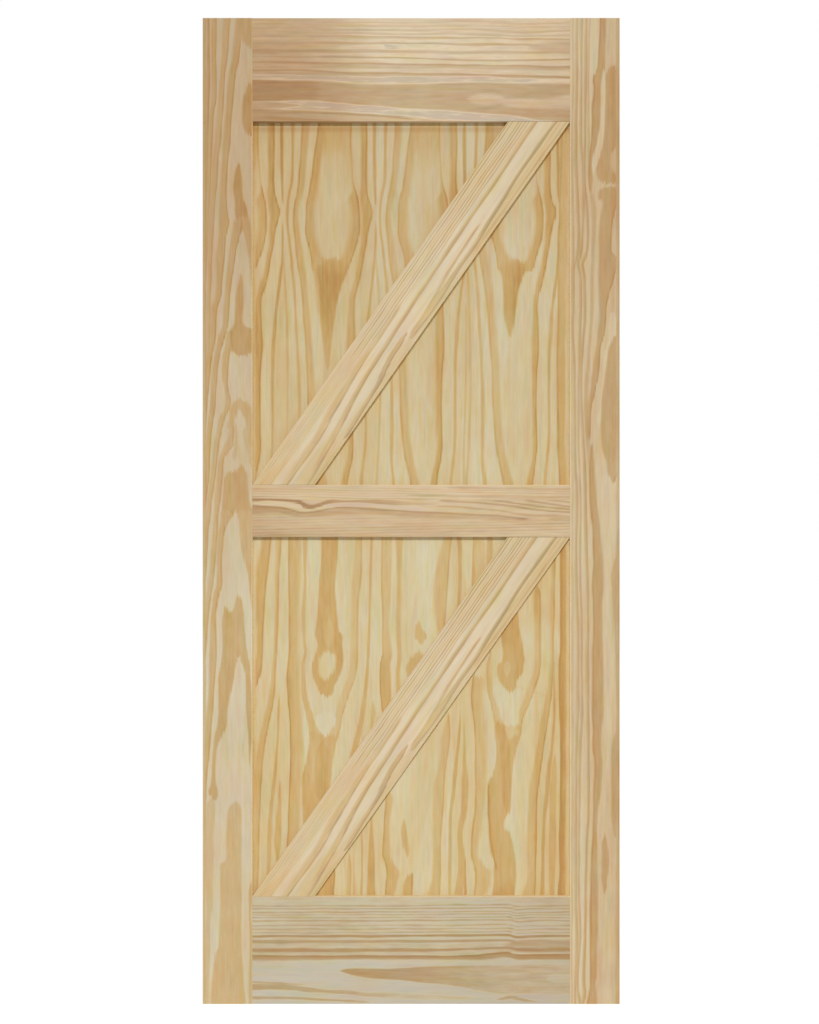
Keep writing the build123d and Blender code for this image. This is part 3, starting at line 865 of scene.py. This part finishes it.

# What streaks and stretches of wood, and painted shadow, multiply their colour by
PINK = "#F7E6DC"
CREAM = "#F4EBDD"
ROSE = "#FEF5F2"
SAP_GREEN = "#F5FBF2"
HONEY = "#FFFCEA"
SILVER = "#F8F9FF"
DARKENING_AND_SHADOW = "#E9D9CB"  # the darker end of a board, and painted shadow under the top rail
END_GRAIN = "#D8C2A8"

# Painted light on edges, and end grain. A face takes such a colour by how squarely it looks that way, from
# none of it at the first value to all of it at the second.
# Painted light: the narrow faces of upright boards are lifted towards this pale colour, as if lit from the
# sides
EDGE_PAINTED_LIGHT = "#F0DDB6"
EDGE_LIGHT_SHARE = 0.5
INNER_PAINTED_LIGHT = "#F9DFA9"  # painted light beside a panel, on stiles and braces: a lit side wall and its golden glow
LEDGE_PAINTED_LIGHT = "#E3CC9F"  # painted highlight on the ledge under a panel, on rails
SQUARE = (0.6, 0.95)
SQUARE_INNER = (0.2, 0.8)

WOOD_IOR = 1.5
PINE_ROUGHNESS = (0.58, 0.72)
PINE_SHEEN = 0.25  # half of a smooth surface's, because the sanded fibres break it up

# How far the rings slide across a board for each millimetre into it
RING_SLANT = 1.5
STILE_SLANT = 100 / 35  # crosses the whole stile on the way to its back
PANEL_SLANT = 20  # brings another stretch of the figure to a panel's back


@dataclass
class Board:
    """One board of pine: its colours by tone, its figure, and how it was cut."""
    palette: dict
    figure: list
    blush: str  # what its warmer stretches multiply their colour by
    base_tone: float = 0.2
    level: bool = False  # a rail, with its grain across the leaf
    slant: float = RING_SLANT
    veneer: tuple = ()  # a figure that comes round again under its own
    repeat: float = 0.0  # mm, how far apart it comes round
    slip: tuple = ()  # (place across, how much nearer it has come round), in mm
    fine_rings: tuple = ()
    shades: tuple = ()
    darkening_and_shadow: tuple = ()  # (place along the grain, share of the darker colour); on the upper panel this includes painted shadow under the top rail
    inner: int = 0  # the side across the grain where its edge lies beside a panel
    # the painted light on that edge
    inner_light_colour: str = INNER_PAINTED_LIGHT
    timber: str = "planed pine"


def streaks(tree, grain, size, detail):
    """Noise stretched to a size across, through and along the grain."""
    stretched = add(tree, "VectorMath", grain, [1 / (length * MM) for length in size], operation="MULTIPLY")
    return add(tree, "TexNoise", stretched, 1.0, detail, 0.5)


def grain_place(tree, board, start, edge, width, turn):
    """Where a point lies across, through and along the grain. The place across is carried to the front
    face on slanting rings: it slides with the depth and folds back at the board's edges."""
    point = add(tree, "TexCoord").node.outputs["Object"]
    place = add(tree, "Mapping", point, start, (0, turn, 0), vector_type="TEXTURE")
    across, depth, along = add(tree, "SeparateXYZ", place).node.outputs
    if board.level:
        across, along = along, across
    inside = add(tree, "Math", across, edge, operation="SUBTRACT")
    slid = add(tree, "Math", depth, board.slant, inside, operation="MULTIPLY_ADD")
    folded = add(tree, "Math", slid, width, operation="PINGPONG")
    return add(tree, "Math", folded, edge, operation="ADD"), depth, along


def pine_tone(tree, board, across, along, grain, slow, fibre):
    """How dark the wood is, from 0 to 1: slow changes, the figure with its straying edges and frayed tips,
    fine rings, broad shades, fibres and mottling."""
    stray = streaks(tree, grain, STRAY_SIZE, 1)
    stray = add(tree, "MapRange", stray, *NOISE_ALL, -STRAY / 2 * MM, STRAY / 2 * MM)
    strayed = add(tree, "Math", across, stray, operation="ADD")
    feather = streaks(tree, grain, FEATHER_SIZE, 2)
    feather = add(tree, "MapRange", feather, *NOISE_ALL, -FEATHER / 2 * MM, FEATHER / 2 * MM)
    feathered = add(tree, "Math", along, feather, operation="ADD")
    base_range = (board.base_tone - BLUSH_TONE, board.base_tone + BLUSH_TONE)
    tone = add(tree, "MapRange", slow, *NOISE_MOST, *base_range)
    if board.veneer:
        slip = drawn_line(tree, across, board.slip, MM)
        slipped = add(tree, "Math", strayed, slip, operation="ADD")
        tone = lay_bands(tree, tone, feathered, slipped, board.veneer, board.repeat)
    tone = lay_bands(tree, tone, feathered, strayed, board.figure)
    tone = lay_fine_rings(tree, tone, along, strayed, board.fine_rings)
    tone = lay_shades(tree, tone, along, across, board.shades)
    mottle = streaks(tree, grain, MOTTLE_SIZE, 3)
    for cloud, swing in ((fibre, FIBRE_TONE), (mottle, MOTTLE_TONE)):
        swung = add(tree, "MapRange", cloud, *NOISE_MOST, -swing, swing)
        tone = add(tree, "Math", tone, swung, operation="ADD")
    return tone


def pine_colour(tree, board, tone, along, grain, slow):
    """The tone's colour, with warmer stretches, streaks of rose, green, gold and grey, and darker stretches
    along the grain, among them painted shadow under a rail.
    """
    ramp = add(tree, "ValToRGB", tone)
    stops = ramp.node.color_ramp.elements
    for position in list(board.palette)[2:]:
        stops.new(position)
    for stop, (position, colour) in zip(stops, board.palette.items()):
        stop.position = position
        stop.color = linear(colour)
    tints = [(add(tree, "MapRange", slow, *BLUSH_NOISE, 0, BLUSH_SHARE), board.blush)]
    for size, hues in ((ROSE_SIZE, (ROSE, SAP_GREEN)), (HONEY_SIZE, (HONEY, SILVER))):
        tint = streaks(tree, grain, size, 2)
        for hue, full in zip(hues, TINT_NOISE):
            tints.append((add(tree, "MapRange", tint, NOISE_MIDDLE, full), hue))
    # Darker stretches along the grain: the ends of some boards, and on the upper panel a painted shadow
    # under the top rail
    if board.darkening_and_shadow:
        tints.append((drawn_line(tree, along, board.darkening_and_shadow), DARKENING_AND_SHADOW))
    colour = ramp
    for share, tint in tints:
        colour = add(tree, "Mix", share, colour, linear(tint), data_type="RGBA", blend_type="MULTIPLY")
    return colour


def edge_light_and_end_grain(tree, board, colour, turn):
    """The colour on a board's edges and ends: painted light makes an upright board's narrow edges paler and
    the edges beside a panel a bright, glowing gold, and end grain drinks the light."""
    across_way = (0, 0, 1) if board.level else (cos(turn), 0, -sin(turn))
    along_way = (1, 0, 0) if board.level else (sin(turn), 0, cos(turn))
    facing = add(tree, "NewGeometry").node.outputs["Normal"]
    # Painted light on faces that look across the leaf
    if not board.level:
        painted_edge_light = add(tree, "Math", add(tree, "SeparateXYZ", facing), operation="ABSOLUTE")
        painted_edge_light = add(tree, "MapRange", painted_edge_light, *SQUARE, 0, EDGE_LIGHT_SHARE)
        colour = add(tree, "Mix", painted_edge_light, colour, linear(EDGE_PAINTED_LIGHT), data_type="RGBA")
    # Painted light: the side wall or ledge beside a panel is lifted to a bright gold, as if lit and glowing
    if board.inner:
        inner_way = [board.inner * part for part in across_way]
        painted_inner_light = add(tree, "VectorMath", facing, inner_way, operation="DOT_PRODUCT")
        painted_inner_light = add(tree, "MapRange", painted_inner_light, *SQUARE_INNER)
        colour = add(tree, "Mix", painted_inner_light, colour, linear(board.inner_light_colour), data_type="RGBA")
    ended = add(tree, "VectorMath", facing, along_way, operation="DOT_PRODUCT")
    ended = add(tree, "MapRange", add(tree, "Math", ended, operation="ABSOLUTE"), *SQUARE)
    return add(tree, "Mix", ended, colour, linear(END_GRAIN), data_type="RGBA", blend_type="MULTIPLY")


def pine(piece, board, start, edge, width, turn=0.0):
    """Pine, planed or peeled and then sanded: matt, pale earlywood with gold-brown latewood bands, and
    faint fibres along the grain. The grain is measured from start, and the board lies from edge across a
    width, turned from upright."""
    material = bare_material(f"{board.timber}, {piece.replace('_', ' ')}")
    tree = material.node_tree
    across, depth, along = grain_place(tree, board, start, edge, width, turn)
    grain = add(tree, "CombineXYZ", across, depth, along)
    slow = streaks(tree, grain, BLUSH_SIZE, 2)
    fibre = streaks(tree, grain, FIBRE_SIZE, 3)
    tone = pine_tone(tree, board, across, along, grain, slow, fibre)
    colour = pine_colour(tree, board, tone, along, grain, slow)
    colour = edge_light_and_end_grain(tree, board, colour, turn)
    roughness = add(tree, "MapRange", fibre, *NOISE_MOST, *PINE_ROUGHNESS)
    relief = add(tree, "Bump", FIBRE_RELIEF_SHARE, FIBRE_RELIEF * MM, None, fibre)
    shader = add(tree, "BsdfPrincipled", colour, 0, roughness, WOOD_IOR, 1, relief)
    shader.node.inputs["Specular IOR Level"].default_value = PINE_SHEEN
    add(tree, "OutputMaterial", shader)
    return material


def dress(piece, material):
    """Gives a CAD node its finish."""
    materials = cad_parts[piece].data.materials
    materials.clear()
    materials.append(material)


# Boards, and their colours by tone. The rails' lowest tone is a greyer streak in their earlywood.
LEFT_STILE_PINE = {0.0: "#D1C5A8", 0.25: "#CDBB97", 0.5: "#C9B083", 0.75: "#C1A16C", 1.0: "#B18A53"}
RIGHT_STILE_PINE = {0.0: "#D2C19E", 0.25: "#CCB690", 0.5: "#C2A87E", 0.75: "#BC9A6A", 1.0: "#B48B56"}
TOP_RAIL_PINE = {
    0.0: "#CAB9A1", 0.1: "#E1D0B1", 0.25: "#D6C3A3", 0.5: "#C8B18D", 0.75: "#BB9E76", 1.0: "#AE8C5D",
}
MID_RAIL_PINE = {
    0.0: "#D4BEA2", 0.12: "#DAC4A0", 0.3: "#D1BA95", 0.5: "#C7AC86", 0.75: "#B89870", 1.0: "#A6845B",
}
BOTTOM_RAIL_PINE = {0.0: "#C0B7A3", 0.2: "#C7BB9E", 0.5: "#B59F7B", 0.75: "#AE9065", 1.0: "#A68051"}
UPPER_VENEER_PINE = {0.0: "#D2C6A4", 0.25: "#CEBA8E", 0.5: "#CAAE79", 0.75: "#C29F62", 1.0: "#B28747"}
LOWER_VENEER_PINE = {0.0: "#D3C9A7", 0.25: "#D1BE92", 0.5: "#CDB27E", 0.75: "#C7A468", 1.0: "#B88E51"}
BRACE_PINE = {0.0: "#DDCDAE", 0.3: "#D5C19F", 0.6: "#D1B687", 1.0: "#B0956B"}

BOARDS = {
    "left_stile": Board(
        LEFT_STILE_PINE, LEFT_STILE_FIGURE, PINK, base_tone=0.1, slant=STILE_SLANT, inner=1,
        shades=LEFT_STILE_SHADES, darkening_and_shadow=[(800, 0.05), (1300, 0.45), (1650, 0.85), (1981, 0.95)],
    ),
    "right_stile": Board(
        RIGHT_STILE_PINE, RIGHT_STILE_FIGURE, PINK, slant=STILE_SLANT, inner=-1,
        shades=RIGHT_STILE_SHADES, darkening_and_shadow=[(900, 0), (1981, 0.3)],
    ),
    "top_rail": Board(
        TOP_RAIL_PINE, TOP_RAIL_FIGURE, PINK, base_tone=0.16, level=True, shades=TOP_RAIL_SHADES,
        darkening_and_shadow=[(100, 1), (240, 0.85), (420, 0.12), (560, 0.2), (640, 0.34), (700, 0.5), (740, 0.6)],
    ),
    "mid_rail": Board(
        MID_RAIL_PINE, MID_RAIL_FIGURE, PINK, base_tone=0.3, level=True, inner=1, inner_light_colour=LEDGE_PAINTED_LIGHT,
        fine_rings=MID_RAIL_FINE_RINGS, shades=MID_RAIL_SHADES, darkening_and_shadow=[(100, 0.25), (380, 0.22), (520, 0)],
    ),
    "bottom_rail": Board(
        BOTTOM_RAIL_PINE, BOTTOM_RAIL_FIGURE, CREAM, level=True, inner=1, inner_light_colour=LEDGE_PAINTED_LIGHT,
        darkening_and_shadow=[(400, 0), (540, 0.17), (620, 0.27), (740, 0.42)],
    ),
    "upper_panel": Board(
        UPPER_VENEER_PINE, UPPER_PANEL_FIGURE, CREAM, slant=PANEL_SLANT, veneer=UPPER_VENEER_FIGURE,
        repeat=UPPER_VENEER_REPEAT, slip=UPPER_VENEER_SLIP, shades=UPPER_PANEL_SHADES,
        # Darker towards the top; the steep rise in the last 20 mm under the top rail is painted shadow
        darkening_and_shadow=[(1100, 0), (1700, 0.4), (1748, 0.45), (1756, 0.85), (1762, 1), (1766, 0.3)],
        timber="rotary-cut pine veneer",
    ),
    "lower_panel": Board(
        LOWER_VENEER_PINE, LOWER_PANEL_FIGURE, CREAM, base_tone=0.18, slant=PANEL_SLANT,
        shades=LOWER_PANEL_SHADES, timber="rotary-cut pine veneer",
    ),
}
for piece, board in BOARDS.items():
    low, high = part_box(piece)
    start = (leaf_low.x, low.y, leaf_low.z)
    if board.level:
        edge, width = low.z - leaf_low.z, high.z - low.z
    else:
        edge, width = low.x - leaf_low.x, high.x - low.x
    dress(piece, pine(piece, board, start, edge, width))

# Braces
BRACE_WIDTH = 102.0  # mm
BRACE = Board(
    BRACE_PINE, BRACE_FIGURE, CREAM, base_tone=0.15, inner=1,
    fine_rings=BRACE_FINE_RINGS, shades=BRACE_SHADES,
)


def brace_turn(piece):
    """How far a brace leans from upright: the direction of its right-hand edge, from the rightmost point
    of its lower end to the rightmost of its upper end."""
    low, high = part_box(piece)
    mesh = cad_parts[piece].data
    points = np.empty(3 * len(mesh.vertices))
    mesh.vertices.foreach_get("co", points)
    points = points.reshape(-1, 3)
    foot = points[points[:, 2] < low.z + MM][:, 0].max()
    return atan2(high.x - foot, high.z - low.z)


for piece in ("upper_brace", "lower_brace"):
    corner = tuple(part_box(piece)[0])
    dress(piece, pine(piece, BRACE, corner, 0.0, BRACE_WIDTH * MM, brace_turn(piece)))

# Dowels in turned beech: pinkish brown with short darker flecks
BEECH = "#C9A680"
BEECH_FLECK = "#A97F5A"
FLECK_SIZE = (6, 1, 1)  # mm along, across and through a dowel
FLECK_NOISE = (0.4, 0.7)  # from where a fleck begins to where it is full
BEECH_ROUGHNESS = 0.6
beech = bare_material("turned beech")
beech_tree = beech.node_tree
place = add(beech_tree, "TexCoord").node.outputs["Object"]
flecks = add(beech_tree, "MapRange", streaks(beech_tree, place, FLECK_SIZE, 2), *FLECK_NOISE)
fleck_colour = add(beech_tree, "Mix", flecks, linear(BEECH), linear(BEECH_FLECK), data_type="RGBA")
turned = add(beech_tree, "BsdfPrincipled", fleck_colour, 0, BEECH_ROUGHNESS, WOOD_IOR)
add(beech_tree, "OutputMaterial", turned)
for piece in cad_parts:
    if piece.endswith("_dowels"):
        dress(piece, beech)


# Floor and light
def seen(tree):
    """1 for rays from the camera, a gloss or a clear piece, which see the background, and 0 for the rest."""
    ray = add(tree, "LightPath").node.outputs
    direct = add(tree, "Math", ray["Is Camera Ray"], ray["Is Glossy Ray"], operation="MAXIMUM")
    return add(tree, "Math", direct, ray["Is Transmission Ray"], operation="MAXIMUM")


# A floor of matt white paper, which keeps the leaf's shadow
FLOOR_REACH = 8.0
FLOOR_WHITE = "#F4F4F4"
FLOOR_GLOW = 0.46  # lifts the floor to white where it is seen
corners = np.array([(-1, -1), (1, -1), (1, 1), (-1, 1)]) * FLOOR_REACH
floor_points = np.column_stack([corners, np.full(len(corners), leaf_low.z)])
floor_mesh = bpy.data.meshes.new("floor")
floor_mesh.from_pydata(floor_points.tolist(), [], [(0, 1, 2, 3)])
floor = bpy.data.objects.new("floor", floor_mesh)
bpy.context.collection.objects.link(floor)
paper = bare_material("white paper")
paper_tree = paper.node_tree
matt = add(paper_tree, "BsdfDiffuse", linear(FLOOR_WHITE))
glow_strength = add(paper_tree, "Math", seen(paper_tree), FLOOR_GLOW, operation="MULTIPLY")
glow = add(paper_tree, "Emission", linear(FLOOR_WHITE), glow_strength)
add(paper_tree, "OutputMaterial", add(paper_tree, "AddShader", matt, glow))
floor_mesh.materials.append(paper)

# One soft key from straight in front and above
KEY_ANGLE = radians(30)  # above the horizon, so that a 12 mm step casts a 7 mm shadow
KEY_SPREAD = radians(7)
KEY_SHARE = 0.51  # of the light on the front face
KEY_COLOUR = (0.99, 1.02, 1.1)  # a little cool against the warmer surround, and white together
key_light = bpy.data.lights.new("key", "SUN")
key_light.energy = KEY_SHARE * np.pi / cos(KEY_ANGLE)
key_light.color = KEY_COLOUR
key_light.angle = KEY_SPREAD
key = bpy.data.objects.new("key", key_light)
key.rotation_euler = (radians(90) - KEY_ANGLE, 0, 0)
bpy.context.collection.objects.link(key)

# An even surround, white where it is seen
SURROUND_SHARE = 0.43
SURROUND_COLOUR = (1.01, 0.985, 0.92, 1.0)
world = bpy.data.worlds.new("surround")
bpy.context.scene.world = world
world.use_nodes = True
sky = world.node_tree
sky.nodes.clear()
background = seen(sky)
sky_strength = add(sky, "MapRange", background, 0, 1, SURROUND_SHARE, 1)
sky_colour = add(sky, "Mix", background, SURROUND_COLOUR, linear("#FFFFFF"), data_type="RGBA")
add(sky, "OutputWorld", add(sky, "Background", sky_colour, sky_strength))

# Camera: straight on, framed as the photograph is
VIEW_HEIGHT = 2.0573  # of the front face, from the top of the image to the bottom
VIEW_MIDDLE = (-0.0033, 0.9885)  # across and up the leaf
CAMERA_DISTANCE = 3.2  # near enough to show a little of the ledges round the panels
CAMERA_REACH = 100.0
SENSOR_HEIGHT = 36.0  # mm
camera_data = bpy.data.cameras.new("camera")
camera_data.sensor_fit = "VERTICAL"
camera_data.sensor_height = SENSOR_HEIGHT
camera_data.lens = SENSOR_HEIGHT * CAMERA_DISTANCE / VIEW_HEIGHT
camera_data.clip_end = CAMERA_REACH
camera = bpy.data.objects.new("camera", camera_data)
camera.location = (VIEW_MIDDLE[0], leaf_low.y - CAMERA_DISTANCE, VIEW_MIDDLE[1])
camera.rotation_euler = (radians(90), 0, 0)
bpy.context.collection.objects.link(camera)
bpy.context.scene.camera = camera
bpy.context.scene.view_settings.view_transform = "Standard"
